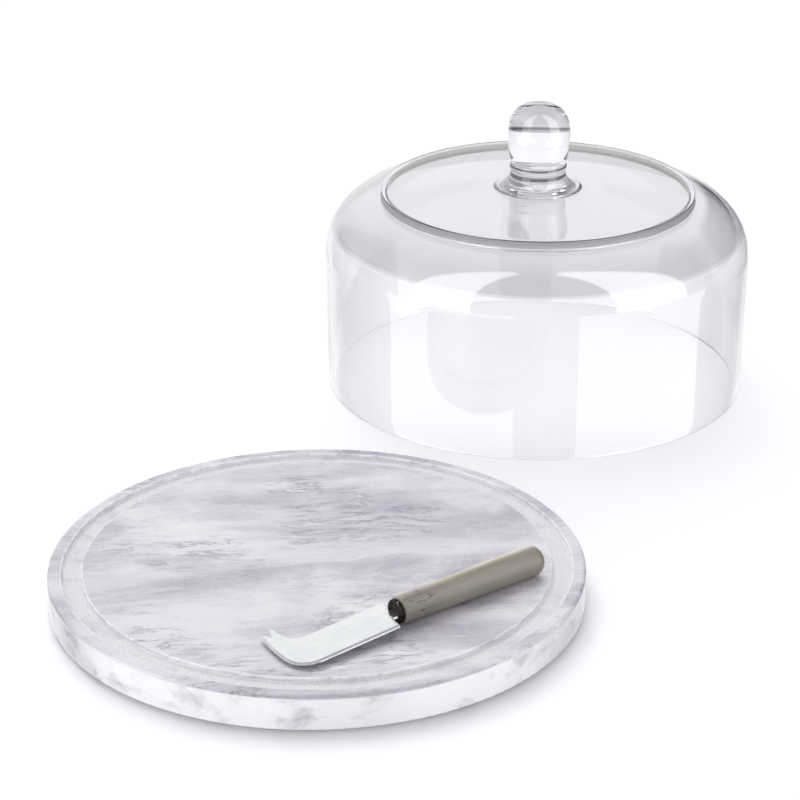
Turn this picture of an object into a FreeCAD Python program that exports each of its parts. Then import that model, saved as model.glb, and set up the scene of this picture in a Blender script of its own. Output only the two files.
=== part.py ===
import FreeCAD, Part
import math
import os

# Cheese dome set: a round marble board with a groove, a glass dome with a ball knob,
# and a cheese knife. Millimetres, +Z up. The origin is the centre of the groove's floor,
# where the dome's rim seats. The dome stands on the table behind the board, and the
# knife lies on the board's polished serving face.

# ---- Glass dome -----------------------------------------------------------------
DOME_RIM_RADIUS = 138.5        # outside, at the open rim
DOME_HEIGHT = 133.0            # table to the edge of the flat top
GLASS_WALL = 3.5
WALL_FLARE = 0.8               # the wall is this much wider where the shoulder starts
SHOULDER_RADIUS = 36.0
TOP_STEP = 5.0                 # the flat top stands this proud of the shoulder
STEP_ROUND = 0.5               # each rounding of the step, inside and out
TOP_CROWN = 2.0                # the top rises this much towards the knob
CROWN_FULLNESS = 0.75          # share of the rise reached half way in
DOME_PLACE = (136.5, 317.2)    # where the dome stands, seen from above

# ---- Knob -----------------------------------------------------------------------
KNOB_HEIGHT = 56.0             # knob seat to the top of the ball
KNOB_WAIST_RADIUS = 18.0
KNOB_WAIST_HEIGHT = 16.4
KNOB_SIDE_PULL = (6.3, 26.2)   # out and up from the waist, to the pole that shapes the side
KNOB_TOP_PULL = 19.5           # out from the axis, to the pole that shapes the top
KNOB_BEAD_RADIUS = 18.8
KNOB_BEAD_HEIGHT = 5.5         # the bead fills this much under the waist
KNOB_FOOT_RADIUS = 27.5
KNOB_FOOT_EDGE = 0.5           # radius of the foot's rounded rim
KNOB_SEAT_MARGIN = 2.0         # flat glass left around the foot

# ---- Marble board ---------------------------------------------------------------
BOARD_THICKNESS = 20.0
BOARD_MARGIN = 7.8             # flat rim outside the groove
GROOVE_CLEARANCE = 3.7         # on each side of the dome's wall
GROOVE_DEPTH = 3.0
GROOVE_LIP_ROUND = 0.7
GROOVE_FLOOR_ROUND = 2.0
BOARD_TOP_ROUND = 1.8
BOARD_BOTTOM_ROUND = 1.2

# ---- Feet -----------------------------------------------------------------------
FOOT_NAMES = ("front_right", "back_right", "back_left", "front_left")
FOOT_FIRST_ANGLE = -45.0       # degrees from +X
FOOT_INSET = 30.0              # board's edge to a foot's centre
FOOT_RADIUS = 7.0
FOOT_FACE_RADIUS = 5.2         # the flat that meets the table
FOOT_SKIRT = 0.5               # straight band under the adhesive
FOOT_BULGE = 1.0 / 3.0         # share of the way in, and of the way up, of the bulge's middle
FOOT_HEIGHT = 1.8
ADHESIVE_RADIUS = 6.5
ADHESIVE_THICKNESS = 0.3

# ---- Knife ----------------------------------------------------------------------
KNIFE_HEEL_PLACE = (41.8, -76.3)   # middle of the blade's heel, seen from above
KNIFE_HEADING = 217.5              # degrees from +X, the way the tip points
KNIFE_LAY_GAP = 0.2                # air between the handle and the board
HANDLE_LENGTH = 98.3
HANDLE_FRONT_RADIUS = 7.75
HANDLE_BUTT_RADIUS = 8.7
HANDLE_FRONT_ROUND = 1.1
HANDLE_BUTT_ROUND = 6.6
BORE_CLEARANCE = 0.6               # bore wall to the tang's corners
SPIGOT_SHOULDER = 1.3              # spigot's radius beyond the bore's
FERRULE_LENGTH = 1.8
FERRULE_BEADS = 2
FERRULE_SHOULDER = 1.15            # handle's front radius beyond the ferrule's
FERRULE_BEAD_RISE = 0.3
SPIGOT_LENGTH = 4.0
SPIGOT_CLEARANCE = 0.05
BLADE_LENGTH = 68.6                # heel to the outermost point of the curved tip
BLADE_WIDTH = 25.0
BLADE_THICKNESS = 1.4
BLADE_DROP = 1.0                   # the blade starts this far under the handle's axis
BLADE_DROOP = 3.1                  # degrees that the blade bends down at the heel
HEEL_SETBACK = 4.2                 # handle's front face to the middle of the heel
HEEL_SKEW = 4.0
HEEL_HOLLOW = 1.2
HOOK_RISE = 19.0                   # tips above the spine
HOOK_THROAT = 12.3                 # throat of the hook, back from the outermost point
HOOK_BEND = 9.0                    # size of the bend from the spine into the hook
PRONG_LEAN = 3.9                   # front tip, back from the outermost point
PRONG_GAP = 7.6                    # between the two tips
FRONT_PRONG_DROP = 1.5             # the front tip is this much lower than the back one
NOTCH_DEPTH = 9.0
NOTCH_SETBACK = 3.0                # front tip to the notch's root
TIP_CURVE_RISE = 2.0               # the curved tip passes this far above the spine,
TIP_CURVE_SETBACK = 0.9            # and here it is this far back from the outermost point
BELLY_ROUND = 13.0                 # bend from the cutting edge into the tip
EDGE_BEVEL_WIDTH = 1.3
EDGE_BEVEL_DEPTH = 0.5
TEETH = 16
TOOTH_RADIUS = 0.55
TANG_WIDTH = 5.0
TANG_DEPTH = 34.0                  # tang inside the handle
TANG_ROOT_WIDTH = 8.0
TANG_ROOT_OVERLAP = 1.0            # root past the heel's hollow, inside the blade
TANG_CLEARANCE = 0.05
RESIN_CLEARANCE = 0.02

EDGE_MATCH = 0.01                  # two edges this close are the same edge

# ---- Sizes that follow ------------------------------------------------------------
GROOVE_OUTER_RADIUS = DOME_RIM_RADIUS + GROOVE_CLEARANCE
GROOVE_INNER_RADIUS = DOME_RIM_RADIUS - GLASS_WALL - GROOVE_CLEARANCE
BOARD_RADIUS = GROOVE_OUTER_RADIUS + BOARD_MARGIN
BOARD_UNDERSIDE = GROOVE_DEPTH - BOARD_THICKNESS
TABLE_Z = BOARD_UNDERSIDE - ADHESIVE_THICKNESS - FOOT_HEIGHT
SHOULDER_START = DOME_HEIGHT - TOP_STEP - SHOULDER_RADIUS
SHOULDER_CENTRE_RADIUS = DOME_RIM_RADIUS + WALL_FLARE - SHOULDER_RADIUS
SHOULDER_TOP = DOME_HEIGHT - TOP_STEP
FLAT_TOP_RADIUS = SHOULDER_CENTRE_RADIUS - 2.0 * STEP_ROUND
KNOB_SEAT_RADIUS = KNOB_FOOT_RADIUS + KNOB_SEAT_MARGIN
KNOB_SEAT_HEIGHT = DOME_HEIGHT + TOP_CROWN
BORE_RADIUS = math.hypot(TANG_WIDTH / 2.0, BLADE_DROP + BLADE_THICKNESS / 2.0) + BORE_CLEARANCE
SPIGOT_RADIUS = BORE_RADIUS + SPIGOT_SHOULDER
FERRULE_RADIUS = HANDLE_FRONT_RADIUS - FERRULE_SHOULDER
HANDLE_TILT = math.degrees(math.atan((HANDLE_BUTT_RADIUS - HANDLE_FRONT_RADIUS) / HANDLE_LENGTH))

Z_AXIS = FreeCAD.Vector(0, 0, 1)
X_AXIS = FreeCAD.Vector(1, 0, 0)


def in_section(across, up):
    """A point of a half section in the XZ plane."""
    return FreeCAD.Vector(across, 0, up)


def line(start, end):
    return Part.LineSegment(start, end).toShape()


def arc_through(start, middle, end):
    return Part.Arc(start, middle, end).toShape()


def arc_about(centre, start, end):
    """An arc of less than half a turn from start to end."""
    outward = (start - centre) + (end - centre)
    middle = centre + outward.normalize() * (start - centre).Length
    return arc_through(start, middle, end)


def turned(edges, axis):
    """A solid turned about an axis through the origin from a closed half section."""
    face = Part.Face(Part.Wire(Part.__sortEdges__(edges)))
    return Part.makeSolid(face.revolve(FreeCAD.Vector(0, 0, 0), axis, 360))


def polar(radius, degrees):
    angle = math.radians(degrees)
    return radius * math.cos(angle), radius * math.sin(angle)


def marble_board():
    """A disc with a shallow ring groove that takes the dome's rim."""
    lip, floor = GROOVE_LIP_ROUND, GROOVE_FLOOR_ROUND
    inner, outer = GROOVE_INNER_RADIUS, GROOVE_OUTER_RADIUS
    top, bottom = GROOVE_DEPTH, BOARD_UNDERSIDE
    shoulder = BOARD_RADIUS - BOARD_TOP_ROUND
    hem = BOARD_RADIUS - BOARD_BOTTOM_ROUND
    p = in_section
    edges = [
        line(p(0, top), p(inner - lip, top)),
        arc_about(p(inner - lip, top - lip), p(inner - lip, top), p(inner, top - lip)),
        line(p(inner, top - lip), p(inner, floor)),
        arc_about(p(inner + floor, floor), p(inner, floor), p(inner + floor, 0)),
        line(p(inner + floor, 0), p(outer - floor, 0)),
        arc_about(p(outer - floor, floor), p(outer - floor, 0), p(outer, floor)),
        line(p(outer, floor), p(outer, top - lip)),
        arc_about(p(outer + lip, top - lip), p(outer, top - lip), p(outer + lip, top)),
        line(p(outer + lip, top), p(shoulder, top)),
        arc_about(p(shoulder, top - BOARD_TOP_ROUND), p(shoulder, top),
                  p(BOARD_RADIUS, top - BOARD_TOP_ROUND)),
        line(p(BOARD_RADIUS, top - BOARD_TOP_ROUND), p(BOARD_RADIUS, bottom + BOARD_BOTTOM_ROUND)),
        arc_about(p(hem, bottom + BOARD_BOTTOM_ROUND), p(BOARD_RADIUS, bottom + BOARD_BOTTOM_ROUND),
                  p(hem, bottom)),
        line(p(hem, bottom), p(0, bottom)),
        line(p(0, bottom), p(0, top)),
    ]
    return turned(edges, Z_AXIS)


def adhesive_disc():
    """A foot's adhesive disc, centred on the Z axis under the board."""
    base = FreeCAD.Vector(0, 0, BOARD_UNDERSIDE - ADHESIVE_THICKNESS)
    return Part.makeCylinder(ADHESIVE_RADIUS, ADHESIVE_THICKNESS, base)


def rubber_foot():
    """A low bumper with a straight skirt, a bulged side and a flat face."""
    top = TABLE_Z + FOOT_HEIGHT
    skirt_end = top - FOOT_SKIRT
    bulge = in_section(FOOT_RADIUS - (FOOT_RADIUS - FOOT_FACE_RADIUS) * FOOT_BULGE,
                       TABLE_Z + (skirt_end - TABLE_Z) * FOOT_BULGE)
    p = in_section
    edges = [
        line(p(0, top), p(FOOT_RADIUS, top)),
        line(p(FOOT_RADIUS, top), p(FOOT_RADIUS, skirt_end)),
        arc_through(p(FOOT_RADIUS, skirt_end), bulge, p(FOOT_FACE_RADIUS, TABLE_Z)),
        line(p(FOOT_FACE_RADIUS, TABLE_Z), p(0, TABLE_Z)),
        line(p(0, TABLE_Z), p(0, top)),
    ]
    return turned(edges, Z_AXIS)


def feet_and_discs():
    """Four feet and their adhesive discs, spread evenly near the board's edge."""
    parts = {}
    for index, name in enumerate(FOOT_NAMES):
        angle = FOOT_FIRST_ANGLE + index * 360.0 / len(FOOT_NAMES)
        x, y = polar(BOARD_RADIUS - FOOT_INSET, angle)
        place = FreeCAD.Vector(x, y, 0)
        parts["rubber_foot_" + name] = rubber_foot().translated(place)
        parts["adhesive_disc_" + name] = adhesive_disc().translated(place)
    return parts


def on_table(shape):
    """Move a shape that stands on Z = 0 to the dome's place on the table."""
    return shape.translated(FreeCAD.Vector(DOME_PLACE[0], DOME_PLACE[1], TABLE_Z))


def step_edges(foot_radius, foot_height, rise, rounding):
    """The section of a step: a hollow rounding at its foot, an upright, and a crest rounding."""
    p = in_section
    face = foot_radius - rounding
    crest = foot_height + rise
    return [
        arc_about(p(foot_radius, foot_height + rounding), p(foot_radius, foot_height),
                  p(face, foot_height + rounding)),
        line(p(face, foot_height + rounding), p(face, crest - rounding)),
        arc_about(p(face - rounding, crest - rounding), p(face, crest - rounding), p(face - rounding, crest)),
    ]


def glass_shell():
    """The dome's wall, rounded shoulder and stepped flat top, with a full round rim. The inside
    follows the outside, one wall thickness in."""
    wall, rim = GLASS_WALL, DOME_RIM_RADIUS
    shoulder = SHOULDER_CENTRE_RADIUS
    crown_rise = CROWN_FULLNESS * TOP_CROWN
    crown_middle = (FLAT_TOP_RADIUS + KNOB_SEAT_RADIUS) / 2.0
    inside_shoulder_top = SHOULDER_TOP - wall
    inside_top = DOME_HEIGHT - wall
    inside_flat_radius = FLAT_TOP_RADIUS - wall
    p = in_section
    centre = p(shoulder, SHOULDER_START)
    edges = [
        arc_through(p(rim - wall, wall / 2.0), p(rim - wall / 2.0, 0), p(rim, wall / 2.0)),
        line(p(rim, wall / 2.0), p(rim + WALL_FLARE, SHOULDER_START)),
        arc_about(centre, p(rim + WALL_FLARE, SHOULDER_START), p(shoulder, SHOULDER_TOP)),
        arc_through(p(FLAT_TOP_RADIUS, DOME_HEIGHT), p(crown_middle, DOME_HEIGHT + crown_rise),
                    p(KNOB_SEAT_RADIUS, KNOB_SEAT_HEIGHT)),
        line(p(KNOB_SEAT_RADIUS, KNOB_SEAT_HEIGHT), p(0, KNOB_SEAT_HEIGHT)),
        line(p(0, KNOB_SEAT_HEIGHT), p(0, inside_top + TOP_CROWN)),
        line(p(0, inside_top + TOP_CROWN), p(KNOB_SEAT_RADIUS, inside_top + TOP_CROWN)),
        arc_through(p(KNOB_SEAT_RADIUS, inside_top + TOP_CROWN), p(crown_middle, inside_top + crown_rise),
                    p(inside_flat_radius, inside_top)),
        line(p(shoulder - wall, inside_shoulder_top), p(shoulder, inside_shoulder_top)),
        arc_about(centre, p(shoulder, inside_shoulder_top), p(rim + WALL_FLARE - wall, SHOULDER_START)),
        line(p(rim + WALL_FLARE - wall, SHOULDER_START), p(rim - wall, wall / 2.0)),
    ]
    edges += step_edges(shoulder, SHOULDER_TOP, TOP_STEP, STEP_ROUND)
    edges += step_edges(shoulder - wall, inside_shoulder_top, TOP_STEP, STEP_ROUND)
    return on_table(turned(edges, Z_AXIS))


def glass_knob():
    """A solid ball that narrows to a bead and a flared foot, fused to the top of the dome."""
    waist, edge = KNOB_WAIST_RADIUS, KNOB_FOOT_EDGE
    seat = KNOB_SEAT_HEIGHT
    top = seat + KNOB_HEIGHT
    waist_z = seat + KNOB_WAIST_HEIGHT
    bead_z = waist_z - KNOB_BEAD_HEIGHT
    flare_end = KNOB_FOOT_RADIUS - edge
    flare_z = seat + 2.0 * edge
    lean = 1.0 - math.sqrt(0.5)
    flare_middle = in_section(waist + (flare_end - waist) * lean, flare_z + (bead_z - flare_z) * lean)
    p = in_section
    ball = Part.BezierCurve()
    ball.setPoles([p(waist, waist_z), p(waist + KNOB_SIDE_PULL[0], waist_z + KNOB_SIDE_PULL[1]),
                   p(KNOB_TOP_PULL, top), p(0, top)])
    edges = [
        line(p(0, seat), p(flare_end, seat)),
        arc_through(p(flare_end, seat), p(KNOB_FOOT_RADIUS, seat + edge), p(flare_end, flare_z)),
        arc_through(p(flare_end, flare_z), flare_middle, p(waist, bead_z)),
        arc_through(p(waist, bead_z), p(KNOB_BEAD_RADIUS, (bead_z + waist_z) / 2.0), p(waist, waist_z)),
        ball.toShape(),
        line(p(0, top), p(0, seat)),
    ]
    return on_table(turned(edges, Z_AXIS))


def lay_knife(shape):
    """Lay a knife piece on the board. The knife is drawn with its tip along +X, the middle of the
    heel over the origin and the handle's axis on the X axis."""
    slope = (HANDLE_BUTT_RADIUS - HANDLE_FRONT_RADIUS) / HANDLE_LENGTH
    radius_at_heel = HANDLE_FRONT_RADIUS - slope * HEEL_SETBACK
    height = GROOVE_DEPTH + KNIFE_LAY_GAP + radius_at_heel * math.cos(math.radians(HANDLE_TILT))
    turn = FreeCAD.Rotation(Z_AXIS, KNIFE_HEADING) * FreeCAD.Rotation(FreeCAD.Vector(0, 1, 0), HANDLE_TILT)
    base = FreeCAD.Vector(KNIFE_HEEL_PLACE[0], KNIFE_HEEL_PLACE[1], height)
    laid = shape.copy()
    laid.Placement = FreeCAD.Placement(base, turn)
    return laid


def tang(clearance):
    """The flat bar that runs from the heel into the handle, grown by a clearance."""
    height = BLADE_THICKNESS + 2.0 * clearance
    bottom = -BLADE_DROP - height / 2.0
    width = TANG_WIDTH + 2.0 * clearance
    back = HEEL_SETBACK + TANG_DEPTH + clearance
    return Part.makeBox(back, width, height, FreeCAD.Vector(-back, -width / 2.0, bottom))


def blade_outline():
    """The blade seen from above: a skewed heel, a straight spine, and a tip that curls
    past the spine into two prongs."""
    half = BLADE_WIDTH / 2.0
    tip = -half - HOOK_RISE
    throat_x = BLADE_LENGTH - HOOK_THROAT
    bend_x = throat_x - HOOK_BEND
    back_tip_x = BLADE_LENGTH - PRONG_LEAN - PRONG_GAP
    notch_x = BLADE_LENGTH - PRONG_LEAN - NOTCH_SETBACK
    front_tip = (BLADE_LENGTH - PRONG_LEAN, tip + FRONT_PRONG_DROP)
    belly_x = BLADE_LENGTH - BELLY_ROUND

    def at(x, y):
        return FreeCAD.Vector(x, y, -BLADE_DROP - BLADE_THICKNESS / 2.0)

    inner = [
        line(at(-HEEL_SKEW, -half), at(bend_x, -half)),
        arc_about(at(bend_x, -half - HOOK_BEND), at(bend_x, -half), at(throat_x, -half - HOOK_BEND)),
        line(at(throat_x, -half - HOOK_BEND), at(back_tip_x, tip)),
        line(at(back_tip_x, tip), at(notch_x, tip + NOTCH_DEPTH)),
        line(at(notch_x, tip + NOTCH_DEPTH), at(*front_tip)),
    ]
    outer = [
        arc_through(at(*front_tip), at(BLADE_LENGTH - TIP_CURVE_SETBACK, -half - TIP_CURVE_RISE),
                    at(BLADE_LENGTH, half - BELLY_ROUND)),
        arc_about(at(belly_x, half - BELLY_ROUND), at(BLADE_LENGTH, half - BELLY_ROUND), at(belly_x, half)),
        line(at(belly_x, half), at(HEEL_SKEW, half)),
    ]
    heel = arc_through(at(HEEL_SKEW, half), at(HEEL_HOLLOW, 0), at(-HEEL_SKEW, -half))
    return inner, outer, heel


def knife_blade():
    """The flat blade with its ground edge, saw teeth round the tip, and tang."""
    inner, outer, heel = blade_outline()
    face = Part.Face(Part.Wire(Part.__sortEdges__(inner + outer + [heel])))
    plate = face.extrude(FreeCAD.Vector(0, 0, BLADE_THICKNESS))
    top = -BLADE_DROP + BLADE_THICKNESS / 2.0
    ground = []
    for edge in plate.Edges:
        middle = edge.valueAt((edge.FirstParameter + edge.LastParameter) / 2.0)
        on_top = abs(middle.z - top) < EDGE_MATCH
        on_edge = any(middle.sub(o.valueAt((o.FirstParameter + o.LastParameter) / 2.0)).Length
                      < BLADE_THICKNESS + EDGE_MATCH for o in outer)
        if on_top and on_edge:
            ground.append(edge)
    plate = plate.makeChamfer(EDGE_BEVEL_DEPTH, EDGE_BEVEL_WIDTH, ground)
    tip_curve = outer[1]
    for index in range(TEETH):
        share = (index + 0.5) / TEETH
        spot = tip_curve.valueAt(tip_curve.FirstParameter
                                 + share * (tip_curve.LastParameter - tip_curve.FirstParameter))
        notch = Part.makeCylinder(TOOTH_RADIUS, 3.0 * BLADE_THICKNESS,
                                  FreeCAD.Vector(spot.x, spot.y, spot.z - BLADE_THICKNESS))
        plate = plate.cut(notch)
    plate.rotate(FreeCAD.Vector(0, 0, -BLADE_DROP), FreeCAD.Vector(0, 1, 0), BLADE_DROOP)
    root_length = HEEL_SETBACK - FERRULE_LENGTH + HEEL_HOLLOW + TANG_ROOT_OVERLAP
    root = Part.makeBox(root_length, TANG_ROOT_WIDTH, BLADE_THICKNESS,
                        FreeCAD.Vector(FERRULE_LENGTH - HEEL_SETBACK, -TANG_ROOT_WIDTH / 2.0,
                                       -BLADE_DROP - BLADE_THICKNESS / 2.0))
    return lay_knife(plate.fuse([root, tang(0.0)]).removeSplitter())


def knife_ferrule():
    """A turned metal collar with beads, a spigot into the handle and a slot for the tang."""
    front = FERRULE_LENGTH - HEEL_SETBACK
    back = -HEEL_SETBACK
    pitch = FERRULE_LENGTH / FERRULE_BEADS
    p = in_section
    edges = []
    for index in range(FERRULE_BEADS):
        start = back + index * pitch
        crest = p(start + pitch / 2.0, FERRULE_RADIUS + FERRULE_BEAD_RISE)
        edges.append(arc_through(p(start, FERRULE_RADIUS), crest, p(start + pitch, FERRULE_RADIUS)))
    edges += [
        line(p(front, FERRULE_RADIUS), p(front, 0)),
        line(p(front, 0), p(back - SPIGOT_LENGTH, 0)),
        line(p(back - SPIGOT_LENGTH, 0), p(back - SPIGOT_LENGTH, SPIGOT_RADIUS)),
        line(p(back - SPIGOT_LENGTH, SPIGOT_RADIUS), p(back, SPIGOT_RADIUS)),
        line(p(back, SPIGOT_RADIUS), p(back, FERRULE_RADIUS)),
    ]
    return lay_knife(turned(edges, X_AXIS).cut(tang(TANG_CLEARANCE)))


def handle_bore():
    """The blind bore for the tang, behind the counterbore for the ferrule's spigot."""
    start = -HEEL_SETBACK
    backwards = FreeCAD.Vector(-1, 0, 0)
    counterbore = Part.makeCylinder(SPIGOT_RADIUS + SPIGOT_CLEARANCE, SPIGOT_LENGTH,
                                    FreeCAD.Vector(start, 0, 0), backwards)
    bore = Part.makeCylinder(BORE_RADIUS, TANG_DEPTH + BORE_RADIUS, FreeCAD.Vector(start, 0, 0), backwards)
    return counterbore.fuse(bore)


def knife_handle():
    """A round handle that swells towards a rounded butt."""
    front = -HEEL_SETBACK
    back = front - HANDLE_LENGTH
    front_round, butt_round = HANDLE_FRONT_ROUND, HANDLE_BUTT_ROUND
    p = in_section
    edges = [
        line(p(front, 0), p(front, HANDLE_FRONT_RADIUS - front_round)),
        arc_about(p(front - front_round, HANDLE_FRONT_RADIUS - front_round),
                  p(front, HANDLE_FRONT_RADIUS - front_round), p(front - front_round, HANDLE_FRONT_RADIUS)),
        line(p(front - front_round, HANDLE_FRONT_RADIUS), p(back + butt_round, HANDLE_BUTT_RADIUS)),
        arc_about(p(back + butt_round, HANDLE_BUTT_RADIUS - butt_round),
                  p(back + butt_round, HANDLE_BUTT_RADIUS), p(back, HANDLE_BUTT_RADIUS - butt_round)),
        line(p(back, HANDLE_BUTT_RADIUS - butt_round), p(back, 0)),
        line(p(back, 0), p(front, 0)),
    ]
    return lay_knife(turned(edges, X_AXIS).cut(handle_bore()))


def tang_resin():
    """The cast resin that fills the handle's bore around the tang."""
    start = -HEEL_SETBACK - SPIGOT_LENGTH - RESIN_CLEARANCE
    length = TANG_DEPTH + BORE_RADIUS - SPIGOT_LENGTH - 2.0 * RESIN_CLEARANCE
    plug = Part.makeCylinder(BORE_RADIUS - RESIN_CLEARANCE, length, FreeCAD.Vector(start, 0, 0),
                             FreeCAD.Vector(-1, 0, 0))
    return lay_knife(plug.cut(tang(RESIN_CLEARANCE)))


def write_parts():
    parts = {
        "marble_board": marble_board(),
        "glass_shell": glass_shell(),
        "glass_knob": glass_knob(),
        "knife_blade": knife_blade(),
        "knife_ferrule": knife_ferrule(),
        "knife_handle": knife_handle(),
        "tang_resin": tang_resin(),
    }
    parts.update(feet_and_discs())
    os.makedirs("parts", exist_ok=True)
    for name, shape in parts.items():
        shape.exportStep("parts/" + name + ".step")
        print(name, "solids", len(shape.Solids), "valid", shape.isValid(), "volume", round(shape.Volume))


write_parts()
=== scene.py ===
import math
import bmesh
import bpy
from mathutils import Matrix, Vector


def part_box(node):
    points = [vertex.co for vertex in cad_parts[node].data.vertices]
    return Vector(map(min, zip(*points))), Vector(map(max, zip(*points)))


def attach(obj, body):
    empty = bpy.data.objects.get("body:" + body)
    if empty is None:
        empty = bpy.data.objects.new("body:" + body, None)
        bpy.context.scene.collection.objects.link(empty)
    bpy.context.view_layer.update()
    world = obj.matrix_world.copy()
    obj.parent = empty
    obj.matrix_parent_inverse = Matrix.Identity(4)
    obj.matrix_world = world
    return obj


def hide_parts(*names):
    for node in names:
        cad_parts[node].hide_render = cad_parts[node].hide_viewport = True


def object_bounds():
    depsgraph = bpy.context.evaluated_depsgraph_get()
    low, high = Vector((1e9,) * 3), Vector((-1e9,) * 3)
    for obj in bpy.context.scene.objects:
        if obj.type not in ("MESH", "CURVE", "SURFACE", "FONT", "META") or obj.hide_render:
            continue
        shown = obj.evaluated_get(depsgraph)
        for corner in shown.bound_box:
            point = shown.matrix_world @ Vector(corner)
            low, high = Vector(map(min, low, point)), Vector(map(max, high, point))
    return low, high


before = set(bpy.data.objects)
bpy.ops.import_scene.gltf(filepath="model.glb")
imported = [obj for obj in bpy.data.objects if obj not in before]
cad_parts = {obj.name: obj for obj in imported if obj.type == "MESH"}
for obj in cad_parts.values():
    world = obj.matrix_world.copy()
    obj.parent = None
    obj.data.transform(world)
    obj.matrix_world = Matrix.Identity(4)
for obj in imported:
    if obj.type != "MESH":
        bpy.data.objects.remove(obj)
cad_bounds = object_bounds()

# Everything is in metres, in the row's frame: the origin is the centre of the groove's
# floor, +Z is up and the dome stands behind, at +Y.

CAMERA_PLACE = (0.0462, -1.2635, 0.6534)
CAMERA_PITCH = 23.62           # degrees below level
CAMERA_LENS = 114.2            # millimetres
CAMERA_SENSOR = 36.0           # millimetres across

MM = 0.001
GLASS_WALL = 3.5 * MM
WALL_FLARE = 0.8 * MM          # the wall is this much wider where the shoulder starts
SHOULDER_RADIUS = 36.0 * MM
TOP_STEP = 5.0 * MM            # the flat top stands this proud of the shoulder
STEP_ROUND = 0.5 * MM
TOP_CROWN = 2.0 * MM           # the top rises this much towards the knob
CROWN_FULLNESS = 0.75
KNOB_FOOT_EDGE = 0.5 * MM
KNOB_HEIGHT = 56.0 * MM        # knob seat to the top of the ball
KNOB_WAIST_RADIUS = 18.0 * MM
KNOB_WAIST_HEIGHT = 16.4 * MM
KNOB_SIDE_PULL = (6.3 * MM, 26.2 * MM)   # out and up from the waist to the pole of the ball's side
KNOB_TOP_PULL = 19.5 * MM      # out from the axis to the pole of the ball's top
KNOB_BEAD_RISE = 0.8 * MM
KNOB_BEAD_HEIGHT = 5.5 * MM
KNOB_SEAT_MARGIN = 2.0 * MM
SHOULDER_SHADE_DROP = 0.57              # the painted shade on the shoulder starts this share of the shoulder's radius down
STEP_PAINTED_GREY = 0.85              # how much matt grey, painted shade, covers the step's upright, and how cloudy the knob's stem
STEM_CLOUD = 0.25
GROOVE_MIDDLE = 136.75 * MM
GROOVE_HALF_WIDTH = 5.45 * MM
SERVING_FACE = 3.0 * MM
LATHE_STEPS = 256              # points round each turned ring
ON_AXIS = 1e-7                 # a point this near to the lathe's axis lies on it
PANEL_DISTANCE = 0.9
PANEL_HEIGHT = 6.0
PANEL_SPILL = 0.55             # share of a panel's light that matt surfaces get through the glass
FLOOR_HALF_SIZE = 12.0


class Shader:
    """A node material or world, built up from named steps."""

    def __init__(self, name, kind="Material"):
        blocks = bpy.data.worlds if kind == "World" else bpy.data.materials
        self.made = blocks.new(name)
        self.made.use_nodes = True
        self.tree = self.made.node_tree
        self.tree.nodes.clear()
        self.output = self.tree.nodes.new("ShaderNodeOutput" + kind)

    def node(self, kind, inputs=None, **settings):
        made = self.tree.nodes.new("ShaderNode" + kind)
        for key, value in settings.items():
            setattr(made, key, value)
        for socket, value in (inputs or {}).items():
            self.feed(made.inputs[socket], value)
        return made

    def feed(self, socket, value):
        """Set a socket from a constant, or link it from another socket."""
        if isinstance(value, bpy.types.NodeSocket):
            self.tree.links.new(value, socket)
        else:
            socket.default_value = value

    def place(self, scale=(1, 1, 1), turn=(0, 0, 0), shift=(0, 0, 0)):
        """The object's own coordinates in metres, turned and scaled."""
        source = self.node("TexCoord").outputs["Object"]
        mapped = self.node("Mapping", {"Vector": source, "Scale": scale, "Rotation": turn,
                                       "Location": shift})
        return mapped.outputs["Vector"]

    def stretch(self, turn, scale):
        """The object's own coordinates, turned first and then scaled along the turned axes."""
        turned = self.place(turn=turn)
        return self.node("Mapping", {"Vector": turned, "Scale": scale}).outputs["Vector"]

    def noise(self, vector, scale, detail=4.0, rough=0.55, bend=0.0):
        made = self.node("TexNoise", {"Vector": vector, "Scale": scale, "Detail": detail,
                                      "Roughness": rough, "Distortion": bend})
        return made.outputs["Fac"]

    def maths(self, operation, first, second=0.0):
        made = self.node("Math", {0: first, 1: second}, operation=operation)
        return made.outputs["Value"]

    def times(self, first, second):
        return self.maths("MULTIPLY", first, second)

    def apart(self, first, second):
        """How far two values are from each other."""
        return self.maths("ABSOLUTE", self.maths("SUBTRACT", first, second))

    def radius(self, x, y):
        """How far a point is from the upright line where x and y are nought."""
        squares = self.maths("ADD", self.maths("POWER", x, 2.0), self.maths("POWER", y, 2.0))
        return self.maths("SQRT", squares)

    def span(self, value, low, high, out_low=0.0, out_high=1.0):
        """value carried smoothly from low..high to out_low..out_high."""
        made = self.node("MapRange", {"Value": value, "From Min": low, "From Max": high,
                                      "To Min": out_low, "To Max": out_high},
                         interpolation_type="SMOOTHSTEP")
        return made.outputs["Result"]

    def spread(self, noise, low=0.0, high=1.0):
        """The range that most of a noise lies in, carried to low..high."""
        return self.span(noise, 0.3, 0.7, low, high)

    def ridge(self, noise, width):
        """Thin lines where a noise passes its middle value."""
        return self.span(self.apart(noise, 0.5), 0.0, width, 1.0, 0.0)

    def mix(self, share, first, second):
        made = self.node("Mix", {0: share, 6: first, 7: second}, data_type="RGBA")
        return made.outputs[2]

    def bump(self, height, distance):
        made = self.node("Bump", {"Height": height, "Distance": distance, "Strength": 1.0})
        return made.outputs["Normal"]

    def principled(self, **inputs):
        named = {key.replace("_", " "): value for key, value in inputs.items()}
        return self.node("BsdfPrincipled", named)

    def finish(self, surface):
        self.feed(self.output.inputs["Surface"], surface)
        return self.made


def colour(red, green, blue):
    return (red, green, blue, 1.0)


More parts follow.
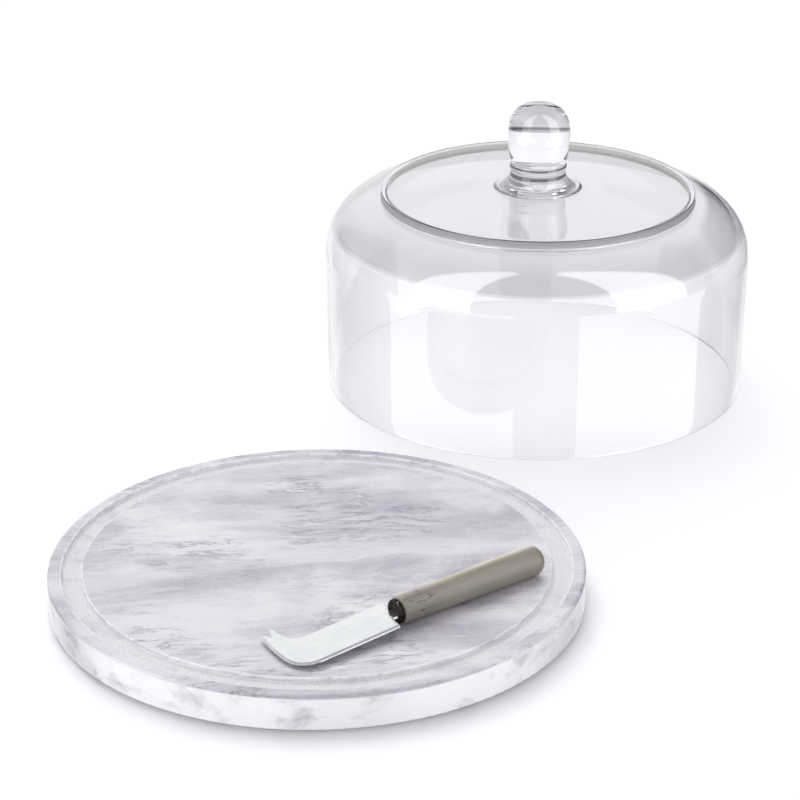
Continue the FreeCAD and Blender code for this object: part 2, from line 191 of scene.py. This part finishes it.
def marble_face(s):
    """The served face: streaks from side to side, with hairlines, veins and smudges."""
    warp = s.node("TexNoise", {"Vector": s.place(), "Scale": 9.0, "Detail": 3.0, "Roughness": 0.5})
    pushed = s.node("VectorMath", {0: warp.outputs["Color"], 1: (0.5, 0.5, 0.5)}, operation="SUBTRACT")
    moved = s.node("VectorMath", {0: pushed.outputs[0], "Scale": 0.03}, operation="SCALE")
    straight = s.stretch((0.0, 0.0, -0.10), (1, 1, 1))
    bent = s.node("VectorMath", {0: straight, 1: moved.outputs[0]}, operation="ADD").outputs[0]
    along = s.node("Mapping", {"Vector": bent, "Scale": (4.0, 22.0, 14.0)}).outputs["Vector"]
    streaks = s.noise(along, 1.0, 7.0, 0.62)
    ripples = s.noise(along, 3.1, 6.0, 0.66, 0.3)
    hairs = s.noise(along, 6.4, 5.0, 0.7, 0.15)
    clouds = s.noise(bent, 11.0, 4.0, 0.6)
    patch = s.noise(s.place(shift=(3.1, 1.7, 0.4)), 13.0, 3.0, 0.5)
    tone = s.mix(s.span(streaks, 0.34, 0.64), colour(0.69, 0.675, 0.715), colour(0.42, 0.40, 0.47))
    tone = s.mix(s.span(clouds, 0.48, 0.66, 0.0, 0.6), tone, colour(0.79, 0.78, 0.80))
    hairline = s.times(s.ridge(hairs, 0.03), s.span(streaks, 0.40, 0.60, 0.10, 0.45))
    tone = s.mix(hairline, tone, colour(0.27, 0.255, 0.31))
    vein = s.times(s.ridge(ripples, 0.032), s.span(patch, 0.45, 0.60))
    tone = s.mix(s.times(vein, 0.75), tone, colour(0.20, 0.19, 0.24))
    # Smudges, where a streak lies on a dense patch.
    smudge = s.times(s.span(ripples, 0.56, 0.70), s.span(patch, 0.55, 0.66))
    return s.mix(s.times(smudge, 0.85), tone, colour(0.115, 0.11, 0.135))


def marble_side(s):
    """The turned side: whiter than the face, with blots in place of streaks."""
    blots = s.noise(s.place((1, 1, 1.6)), 34.0, 5.0, 0.62, 0.4)
    tone = s.mix(s.span(blots, 0.5, 0.72), colour(0.90, 0.89, 0.905), colour(0.46, 0.445, 0.50))
    return s.mix(s.times(s.span(blots, 0.64, 0.76), 0.8), tone, colour(0.14, 0.135, 0.16))


def lavender_marble():
    """White marble with violet grey streaks, sandy in the groove, with a painted highlight along the
    groove's lips.
    """
    s = Shader("lavender_marble")
    x, y, z = s.node("SeparateXYZ", {"Vector": s.place()}).outputs
    side = s.span(z, SERVING_FACE - 2.4 * MM, SERVING_FACE - 1.2 * MM, 1.0, 0.0)
    tone = s.mix(s.times(side, 0.9), marble_face(s), marble_side(s))
    grain = s.noise(s.place(), 1100.0, 2.0, 0.6)
    tone = s.mix(s.span(grain, 0.4, 0.75, 0.0, 0.22), tone, colour(0.85, 0.85, 0.87))
    # The groove's floor is left as the cutter made it.
    off_middle = s.apart(s.radius(x, y), GROOVE_MIDDLE)
    in_groove = s.times(s.span(off_middle, GROOVE_HALF_WIDTH - 0.8 * MM, GROOVE_HALF_WIDTH, 1.0, 0.0),
                        s.span(z, -2 * MM, -1 * MM))
    sand = s.noise(s.place(), 1300.0, 3.0, 0.7)
    speckled = s.mix(s.span(sand, 0.35, 0.68), colour(0.42, 0.41, 0.46), colour(0.93, 0.93, 0.95))
    tone = s.mix(in_groove, tone, s.mix(0.5, tone, speckled))
    # Painted highlight: the groove's lips are painted white where their edges catch the light.
    off_lip = s.apart(off_middle, GROOVE_HALF_WIDTH + 0.2 * MM)
    lip_highlight = s.times(s.span(off_lip, 0.3 * MM, 1.0 * MM, 1.0, 0.0), s.span(z, 1 * MM, 2 * MM))
    lip_highlight_strength = s.span(s.noise(s.place(), 160.0, 3.0, 0.6), 0.35, 0.6, 0.25, 0.9)
    tone = s.mix(s.times(lip_highlight, lip_highlight_strength), tone, colour(0.86, 0.855, 0.875))
    gloss = s.spread(s.noise(s.place(), 40.0, 3.0), 0.20, 0.32)
    roughness = s.maths("ADD", gloss, s.times(in_groove, 0.45))
    relief = s.maths("ADD", s.times(sand, in_groove), s.times(grain, 0.03))
    surface = s.principled(Base_Color=tone, Roughness=roughness, IOR=1.5,
                           Normal=s.bump(relief, 0.6 * MM))
    return s.finish(surface.outputs[0])


def clear_glass():
    """Clear glass with painted shade: grey bands on the shoulder and the step's upright, and a little
    grey in the ball. Lamps light what is behind it.
    """
    s = Shader("clear_glass")
    low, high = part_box("glass_shell")
    seat = high.z
    step_crest = seat - TOP_CROWN
    step_foot = step_crest - TOP_STEP
    shoulder_shade_start = step_foot - SHOULDER_RADIUS * SHOULDER_SHADE_DROP
    stem_top = seat + KNOB_WAIST_HEIGHT
    to_axis = (-(low.x + high.x) / 2.0, -(low.y + high.y) / 2.0, 0.0)
    x, y, height = s.node("SeparateXYZ", {"Vector": s.place(shift=to_axis)}).outputs
    # The tints from the wall up: the height where each one begins, where it is full, its colour. The
    # grey bands on the shoulder and the step's upright are painted shade; the ball is a little grey.
    tint = colour(0.945, 0.942, 0.952)
    for begins, full, next_tint in (
            (shoulder_shade_start - 0.3 * MM, shoulder_shade_start + 0.5 * MM, colour(0.68, 0.675, 0.695)),
            (shoulder_shade_start + 8 * MM, step_foot, colour(0.78, 0.775, 0.79)),
            (step_foot + 0.1 * MM, step_foot + 0.5 * MM, colour(0.60, 0.595, 0.615)),
            (step_crest - 0.5 * MM, step_crest - 0.2 * MM, colour(0.93, 0.928, 0.933)),
            (stem_top, seat + 0.9 * KNOB_HEIGHT, colour(0.87, 0.865, 0.88))):
        tint = s.mix(s.span(height, begins, full), tint, next_tint)
    ripple = s.bump(s.noise(s.place(), 9.0, 1.0, 0.4), 0.2 * MM)
    glass = s.principled(Base_Color=tint, Roughness=0.0, IOR=1.5, Specular_IOR_Level=0.9,
                         Transmission_Weight=1.0, Normal=ripple)
    # The step's upright gets a matt grey, painted shade for the grey band its glass edge shows, and the
    # stem is a little cloudy.
    flat = (high.x - low.x) / 2.0 - SHOULDER_RADIUS - 2.0 * STEP_ROUND
    upright = s.times(s.span(height, step_foot + 0.1 * MM, step_foot + 0.3 * MM),
                      s.span(height, step_crest - 0.5 * MM, step_crest - 0.3 * MM, 1.0, 0.0))
    upright = s.times(upright, s.span(s.radius(x, y), flat + 0.1 * MM, flat + 0.3 * MM))
    stem = s.times(s.span(height, seat + 0.1 * MM, seat + 0.6 * MM),
                   s.span(height, stem_top - 1 * MM, stem_top + 1 * MM, 1.0, 0.0))
    matt_tint = s.mix(stem, colour(0.50, 0.495, 0.515), colour(0.80, 0.795, 0.81))
    matt = s.node("BsdfDiffuse", {"Color": matt_tint})
    share = s.maths("MAXIMUM", s.times(upright, STEP_PAINTED_GREY), s.times(stem, STEM_CLOUD))
    shaded_step_and_cloudy_stem = s.node("MixShader", {0: share, 1: glass.outputs[0], 2: matt.outputs[0]})
    through = s.node("BsdfTransparent", {"Color": colour(0.97, 0.97, 0.98)})
    to_lamp = s.node("LightPath").outputs["Is Shadow Ray"]
    surface = s.node("MixShader", {0: to_lamp, 1: shaded_step_and_cloudy_stem.outputs[0], 2: through.outputs[0]})
    return s.finish(surface.outputs[0])


def box_middle(box):
    return sum(box, Vector()) / 2.0


def knife_heading():
    """The way the knife's tip points, in radians from +X, from where its pieces lie."""
    along = box_middle(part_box("knife_ferrule")) - box_middle(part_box("knife_handle"))
    return math.atan2(along.y, along.x)


def polished_steel():
    """Bright steel with fine scratches along the blade."""
    s = Shader("polished_steel")
    scratches = s.noise(s.stretch((0, 0, -knife_heading()), (60, 1400, 60)), 1.0, 3.0, 0.6)
    smears = s.noise(s.place(), 60.0, 3.0, 0.5)
    tone = s.mix(s.spread(smears), colour(0.93, 0.94, 0.945), colour(0.86, 0.885, 0.895))
    surface = s.principled(Base_Color=tone, Metallic=1.0, Roughness=s.spread(scratches, 0.14, 0.26),
                           Normal=s.bump(scratches, 0.02 * MM))
    return s.finish(surface.outputs[0])


def dark_ferrule_metal():
    """Blackened metal with a little brass left bright."""
    s = Shader("dark_ferrule_metal")
    stain = s.noise(s.place(), 520.0, 4.0, 0.6)
    tone = s.mix(s.span(stain, 0.62, 0.74), colour(0.020, 0.017, 0.014), colour(0.40, 0.33, 0.20))
    surface = s.principled(Base_Color=tone, Metallic=1.0, Roughness=s.spread(stain, 0.15, 0.4),
                           Normal=s.bump(stain, 0.04 * MM))
    return s.finish(surface.outputs[0])


def streaked_handle_stone():
    """Warm grey stone with streaks along the handle, dark specks near the ferrule, and painted shade on
    its crown and front side.
    """
    s = Shader("streaked_handle_stone")
    heading = knife_heading()
    turn = (0, 0, -heading)
    streaks = s.noise(s.stretch(turn, (16, 260, 260)), 1.0, 6.0, 0.62, 0.2)
    lines = s.noise(s.stretch(turn, (9, 700, 700)), 1.0, 3.0, 0.5)
    clouds = s.noise(s.stretch(turn, (22, 70, 70)), 1.0, 3.0, 0.5)
    specks = s.noise(s.stretch(turn, (170, 420, 420)), 1.0, 4.0, 0.6)
    grain = s.noise(s.place(), 1200.0, 2.0, 0.6)
    tone = s.mix(s.span(streaks, 0.35, 0.68), colour(0.72, 0.67, 0.575), colour(0.52, 0.475, 0.395))
    tone = s.mix(s.span(lines, 0.42, 0.62, 0.0, 0.45), tone, colour(0.30, 0.27, 0.22))
    tone = s.mix(s.span(clouds, 0.42, 0.64, 0.0, 0.6), tone, colour(0.80, 0.76, 0.68))
    # Painted shade: the handle is darker on its crown and front side than along its back side, where the
    # light falls.
    handle = box_middle(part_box("knife_handle"))
    axis_line = handle.y * math.cos(heading) - handle.x * math.sin(heading)
    across = s.node("SeparateXYZ", {"Vector": s.place(turn=turn)}).outputs["Y"]
    painted_front_shade = s.span(across, axis_line - 3 * MM, axis_line + 3 * MM, 0.0, 0.8)
    tone = s.mix(painted_front_shade, tone, colour(0.15, 0.132, 0.103))
    ferrule = tuple(box_middle(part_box("knife_ferrule")))
    off_ferrule = s.node("VectorMath", {0: s.place(), 1: ferrule}, operation="DISTANCE").outputs["Value"]
    near_ferrule = s.span(off_ferrule, 10 * MM, 34 * MM, 1.0, 0.0)
    tone = s.mix(s.times(near_ferrule, 0.35), tone, colour(0.14, 0.123, 0.10))
    density = s.maths("ADD", s.times(near_ferrule, 0.8), 0.05)
    tone = s.mix(s.times(s.span(specks, 0.60, 0.68), density), tone, colour(0.03, 0.027, 0.024))
    relief = s.maths("ADD", streaks, s.times(grain, 0.2))
    surface = s.principled(Base_Color=tone, Roughness=s.spread(grain, 0.34, 0.48),
                           Specular_IOR_Level=0.25, Normal=s.bump(relief, 0.08 * MM))
    return s.finish(surface.outputs[0])


def fine_grained(name, texture, dark, light, roughness, relief):
    """A plain material in which one noise carries the tone, the roughness and the relief."""
    s = Shader(name)
    grain = s.noise(s.place(), *texture)
    surface = s.principled(Base_Color=s.mix(grain, dark, light), Roughness=s.spread(grain, *roughness),
                           Normal=s.bump(grain, relief))
    return s.finish(surface.outputs[0])


def foot_rubber():
    return fine_grained("foot_rubber", (1800.0, 3.0, 0.6), colour(0.03, 0.03, 0.032),
                        colour(0.07, 0.07, 0.075), (0.6, 0.8), 0.08 * MM)


def adhesive_foam():
    return fine_grained("adhesive_foam", (2600.0, 2.0, 0.5), colour(0.55, 0.53, 0.47),
                        colour(0.78, 0.76, 0.70), (0.7, 0.9), 0.05 * MM)


def cast_resin():
    return fine_grained("cast_resin", (300.0, 3.0, 0.5), colour(0.52, 0.42, 0.26),
                        colour(0.70, 0.60, 0.42), (0.2, 0.35), 0.05 * MM)


def arc(centre, start, end, steps):
    """Points of the shorter arc about centre, from start to end, with both ends."""
    from_angle = math.atan2(start[1] - centre[1], start[0] - centre[0])
    to_angle = math.atan2(end[1] - centre[1], end[0] - centre[0])
    sweep = (to_angle - from_angle + math.pi) % (2.0 * math.pi) - math.pi
    radius = math.dist(centre, start)
    points = []
    for index in range(steps + 1):
        angle = from_angle + sweep * index / steps
        points.append((centre[0] + radius * math.cos(angle), centre[1] + radius * math.sin(angle)))
    return points


def slope(start, end, steps=1):
    """Points of a straight run, without its start."""
    return [(start[0] + (end[0] - start[0]) * (index + 1) / steps,
             start[1] + (end[1] - start[1]) * (index + 1) / steps) for index in range(steps)]


def lathe(name, profile, centre):
    """A closed body turned about the upright line through centre, from a half section
    that starts and ends on that line."""
    mesh = bpy.data.meshes.new(name)
    body = bmesh.new()
    rings = []
    for across, up in profile:
        if across < ON_AXIS:
            rings.append([body.verts.new((centre[0], centre[1], up))])
            continue
        ring = []
        for index in range(LATHE_STEPS):
            angle = 2.0 * math.pi * index / LATHE_STEPS
            ring.append(body.verts.new((centre[0] + across * math.cos(angle),
                                        centre[1] + across * math.sin(angle), up)))
        rings.append(ring)
    for lower, upper in zip(rings, rings[1:]):
        for index in range(LATHE_STEPS):
            after = (index + 1) % LATHE_STEPS
            corners = [lower[index % len(lower)], lower[after % len(lower)],
                       upper[after % len(upper)], upper[index % len(upper)]]
            body.faces.new(list(dict.fromkeys(corners)))
    bmesh.ops.recalc_face_normals(body, faces=body.faces)
    for face in body.faces:
        face.smooth = True
    body.to_mesh(mesh)
    body.free()
    piece = bpy.data.objects.new(name, mesh)
    bpy.context.scene.collection.objects.link(piece)
    return piece


def step_down(crest, rise, rounding):
    """A step's section from its crest down and out to its foot, without its first point."""
    face = crest[0] + rounding
    foot = crest[1] - rise
    points = arc((crest[0], crest[1] - rounding), crest, (face, crest[1] - rounding), steps=8)
    points += slope(points[-1], (face, foot + rounding), steps=3)
    points += arc((face + rounding, foot + rounding), points[-1], (face + rounding, foot), steps=8)[1:]
    return points[1:]


def crown(flat, hub, height):
    """The gentle rise between the flat top's edge and the knob's seat, from the inside out."""
    steps = 16
    points = []
    for index in range(steps + 1):
        share = index / steps
        rise = 4.0 * (CROWN_FULLNESS - 0.5) * share * (1.0 - share) + (1.0 - share)
        points.append((hub + (flat - hub) * share, height + TOP_CROWN * rise))
    return points


def top_and_shoulder(start, flat, flat_height, shoulder, shoulder_height, wall_edge):
    """One face of the dome's top, from the axis out over the crown and the step, and down
    the shoulder to the wall's upper edge."""
    points = [(0.0, start[1])] + slope((0.0, start[1]), start, steps=4)[:-1]
    points += crown(flat, start[0], flat_height)
    points += step_down(points[-1], TOP_STEP, STEP_ROUND)
    points += slope(points[-1], (shoulder, points[-1][1]))
    points += arc((shoulder, shoulder_height), points[-1], (wall_edge, shoulder_height), steps=36)[1:]
    return list(dict.fromkeys(points))


def knob_profile(foot, seat):
    """The knob's section, from its foot's rim up to the top of the ball."""
    top = seat + KNOB_HEIGHT
    waist_z = seat + KNOB_WAIST_HEIGHT
    bead_z = waist_z - KNOB_BEAD_HEIGHT
    edge = (foot - KNOB_FOOT_EDGE, seat + KNOB_FOOT_EDGE)
    points = arc(edge, (edge[0], seat), (foot, edge[1]), steps=4)[1:]
    points += arc(edge, points[-1], (edge[0], edge[1] + KNOB_FOOT_EDGE), steps=4)[1:]
    flare_start = points[-1]
    flare_steps = 24
    for index in range(1, flare_steps + 1):
        turn = math.pi / 2.0 * index / flare_steps
        points.append((flare_start[0] - (flare_start[0] - KNOB_WAIST_RADIUS) * math.sin(turn),
                       bead_z - (bead_z - flare_start[1]) * math.cos(turn)))
    bead_steps = 16
    for index in range(1, bead_steps + 1):
        share = index / bead_steps
        swell = math.sin(math.pi * share) ** 2
        points.append((KNOB_WAIST_RADIUS + KNOB_BEAD_RISE * swell, bead_z + KNOB_BEAD_HEIGHT * share))
    # The ball is one cubic curve between the waist and the top.
    waist = Vector((KNOB_WAIST_RADIUS, waist_z))
    side_pole = waist + Vector(KNOB_SIDE_PULL)
    top_pole = Vector((KNOB_TOP_PULL, top))
    summit = Vector((0.0, top))
    ball_steps = 48
    for index in range(1, ball_steps + 1):
        share = index / ball_steps
        rest = 1.0 - share
        points.append(tuple(waist * rest ** 3 + side_pole * 3.0 * share * rest ** 2
                            + top_pole * 3.0 * share ** 2 * rest + summit * share ** 3))
    return points


def glass_dome():
    """The dome and its knob as the glass they are blown and fused into: one closed body."""
    low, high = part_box("glass_shell")
    knob_low, knob_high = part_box("glass_knob")
    centre = ((low.x + high.x) / 2.0, (low.y + high.y) / 2.0)
    widest = (high.x - low.x) / 2.0
    rim = widest - WALL_FLARE
    seat = high.z
    foot = (knob_high.x - knob_low.x) / 2.0
    hub = foot + KNOB_SEAT_MARGIN
    top = seat - TOP_CROWN
    shoulder = widest - SHOULDER_RADIUS
    shoulder_height = top - TOP_STEP - SHOULDER_RADIUS
    flat = shoulder - 2.0 * STEP_ROUND
    half_wall = GLASS_WALL / 2.0
    wall_end = low.z + half_wall

    inside = top_and_shoulder((hub, seat - GLASS_WALL), flat - GLASS_WALL, top - GLASS_WALL,
                              shoulder, shoulder_height, widest - GLASS_WALL)
    inside += slope(inside[-1], (rim - GLASS_WALL, wall_end), steps=12)
    outside = top_and_shoulder((hub, seat), flat, top, shoulder, shoulder_height, widest)
    outside += slope(outside[-1], (rim, wall_end), steps=12)
    outside = [point for point in outside if point[0] > foot]
    rounded = arc((rim - half_wall, wall_end), inside[-1], (rim - half_wall, low.z), steps=5)[1:]
    rounded += arc((rim - half_wall, wall_end), rounded[-1], outside[-1], steps=5)[1:-1]
    profile = inside + rounded + outside[::-1] + [(foot - KNOB_FOOT_EDGE, seat)]
    profile += knob_profile(foot, seat)
    piece = lathe("glass_dome", profile, centre)
    piece.data.materials.append(clear_glass())
    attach(piece, "dome")
    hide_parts("glass_shell", "glass_knob")


def dress(node, material):
    """Give a CAD node a material."""
    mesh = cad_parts[node].data
    mesh.materials.clear()
    mesh.materials.append(material)


def dress_all():
    rubber = foot_rubber()
    foam = adhesive_foam()
    by_node = {
        "marble_board": lavender_marble(),
        "knife_blade": polished_steel(),
        "knife_ferrule": dark_ferrule_metal(),
        "knife_handle": streaked_handle_stone(),
        "tang_resin": cast_resin(),
    }
    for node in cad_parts:
        if node.startswith("rubber_foot"):
            by_node[node] = rubber
        if node.startswith("adhesive_disc"):
            by_node[node] = foam
    for node, material in by_node.items():
        dress(node, material)


def lay_floor():
    """A wide pale floor under the object."""
    mesh = bpy.data.meshes.new("floor")
    level = cad_bounds[0][2]
    corners = [(x * FLOOR_HALF_SIZE, y * FLOOR_HALF_SIZE, level)
               for x, y in ((-1, -1), (1, -1), (1, 1), (-1, 1))]
    mesh.from_pydata(corners, [], [(0, 1, 2, 3)])
    floor = bpy.data.objects.new("floor", mesh)
    bpy.context.scene.collection.objects.link(floor)
    s = Shader("pale_floor")
    surface = s.principled(Base_Color=colour(0.95, 0.95, 0.95), Roughness=1.0, Specular_IOR_Level=0.0)
    mesh.materials.append(s.finish(surface.outputs[0]))
    floor.visible_glossy = False


def aim(thing, place, target):
    thing.location = place
    thing.rotation_euler = (Vector(target) - Vector(place)).to_track_quat("-Z", "Y").to_euler()


def softbox(name, place, target, width, height, power):
    light = bpy.data.lights.new(name, "AREA")
    light.shape = "RECTANGLE"
    light.size = width
    light.size_y = height
    light.energy = power
    lamp = bpy.data.objects.new(name, light)
    bpy.context.scene.collection.objects.link(lamp)
    aim(lamp, place, target)
    return lamp


def studio_room():
    """A bright backdrop behind, pale walls low in front, sides that are dark low down, a grey
    violet ceiling and a dark corner behind on the right."""
    s = Shader("studio_room", "World")
    direction = s.node("TexCoord").outputs["Generated"]
    side, depth, up = s.node("SeparateXYZ", {"Vector": direction}).outputs
    sideways = s.maths("ABSOLUTE", side)
    room = s.mix(s.span(up, 0.50, 0.60), colour(0.92, 0.915, 0.93), colour(0.40, 0.39, 0.43))
    aside = s.times(s.span(sideways, 0.42, 0.70), s.span(depth, -0.2, 0.3))
    side_tone = s.mix(s.span(up, 0.0, 0.2), colour(0.06, 0.055, 0.08), colour(0.50, 0.49, 0.53))
    room = s.mix(aside, room, side_tone)
    backdrop = s.times(s.span(depth, 0.3, 0.6), s.span(up, 0.85, 0.5))
    backdrop = s.times(backdrop, s.span(sideways, 0.6, 0.4))
    room = s.mix(backdrop, room, colour(1.0, 1.0, 1.0))
    to_corner = Vector((0.62, 0.78, 0.08)).normalized()
    corner = s.node("VectorMath", {0: direction, 1: to_corner}, operation="DOT_PRODUCT").outputs["Value"]
    room = s.mix(s.span(corner, 0.87, 0.92), room, colour(0.05, 0.045, 0.075))
    background = s.node("Background", {"Color": room, "Strength": 1.0})
    return s.finish(background.outputs[0])


def tall_panel(name, near, far, low, high, radiance):
    """An upright light panel, PANEL_DISTANCE from the dome, that lights by its reflections. It
    runs from near to far, in degrees from the dome's front, and between two heights over the
    table."""
    dome = box_middle(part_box("glass_shell"))
    facing = math.radians((near + far) / 2.0)
    width = 2.0 * PANEL_DISTANCE * math.tan(math.radians(abs(far - near) / 2.0))
    outward = Vector((math.sin(facing), -math.cos(facing), 0.0))
    place = dome + outward * PANEL_DISTANCE
    place.z = cad_bounds[0][2] + (low + high) / 2.0
    height = high - low
    lamp = softbox(name, place, place - outward, width, height, radiance * math.pi * width * height)
    lamp.visible_diffuse = False
    # Matt surfaces get only part of the panel's light by way of the glass.
    lamp.data.use_nodes = True
    nodes = lamp.data.node_tree.nodes
    path = nodes.new("ShaderNodeLightPath")
    strength = nodes.new("ShaderNodeMapRange")
    strength.inputs["To Min"].default_value = 1.0
    strength.inputs["To Max"].default_value = PANEL_SPILL
    links = lamp.data.node_tree.links
    links.new(path.outputs["Diffuse Depth"], strength.inputs["Value"])
    links.new(strength.outputs["Result"], nodes["Emission"].inputs["Strength"])


def sun(name, place, energy, spread):
    light = bpy.data.lights.new(name, "SUN")
    light.energy = energy
    light.angle = math.radians(spread)
    lamp = bpy.data.objects.new(name, light)
    lamp.visible_glossy = False
    lamp.visible_transmission = False
    bpy.context.scene.collection.objects.link(lamp)
    aim(lamp, place, (0.0, 0.0, 0.0))


def light_scene():
    """Two tall panels beside the camera with their images in the table, and two soft washes."""
    bpy.context.scene.world = studio_room()
    tall_panel("panel_left", near=-35.0, far=-68.0, low=0.0, high=PANEL_HEIGHT, radiance=3.9)
    tall_panel("panel_right", near=37.0, far=77.0, low=0.0, high=PANEL_HEIGHT, radiance=4.2)
    tall_panel("image_left", near=-13.0, far=-83.0, low=-PANEL_HEIGHT, high=0.0, radiance=1.8)
    tall_panel("image_right", near=19.0, far=91.0, low=-PANEL_HEIGHT, high=0.0, radiance=1.9)
    sun("back_wash", (-0.3, 1.0, 1.7), energy=1.85, spread=50.0)
    sun("front_wash", (-0.5, -1.6, 0.9), energy=0.5, spread=60.0)


def set_camera():
    lens = bpy.data.cameras.new("camera")
    lens.lens = CAMERA_LENS
    lens.sensor_width = CAMERA_SENSOR
    camera = bpy.data.objects.new("camera", lens)
    camera.location = CAMERA_PLACE
    camera.rotation_euler = (math.radians(90.0 - CAMERA_PITCH), 0.0, 0.0)
    bpy.context.scene.collection.objects.link(camera)
    bpy.context.scene.camera = camera


dress_all()
glass_dome()
lay_floor()
light_scene()
set_camera()
bpy.context.scene.view_settings.view_transform = "Standard"
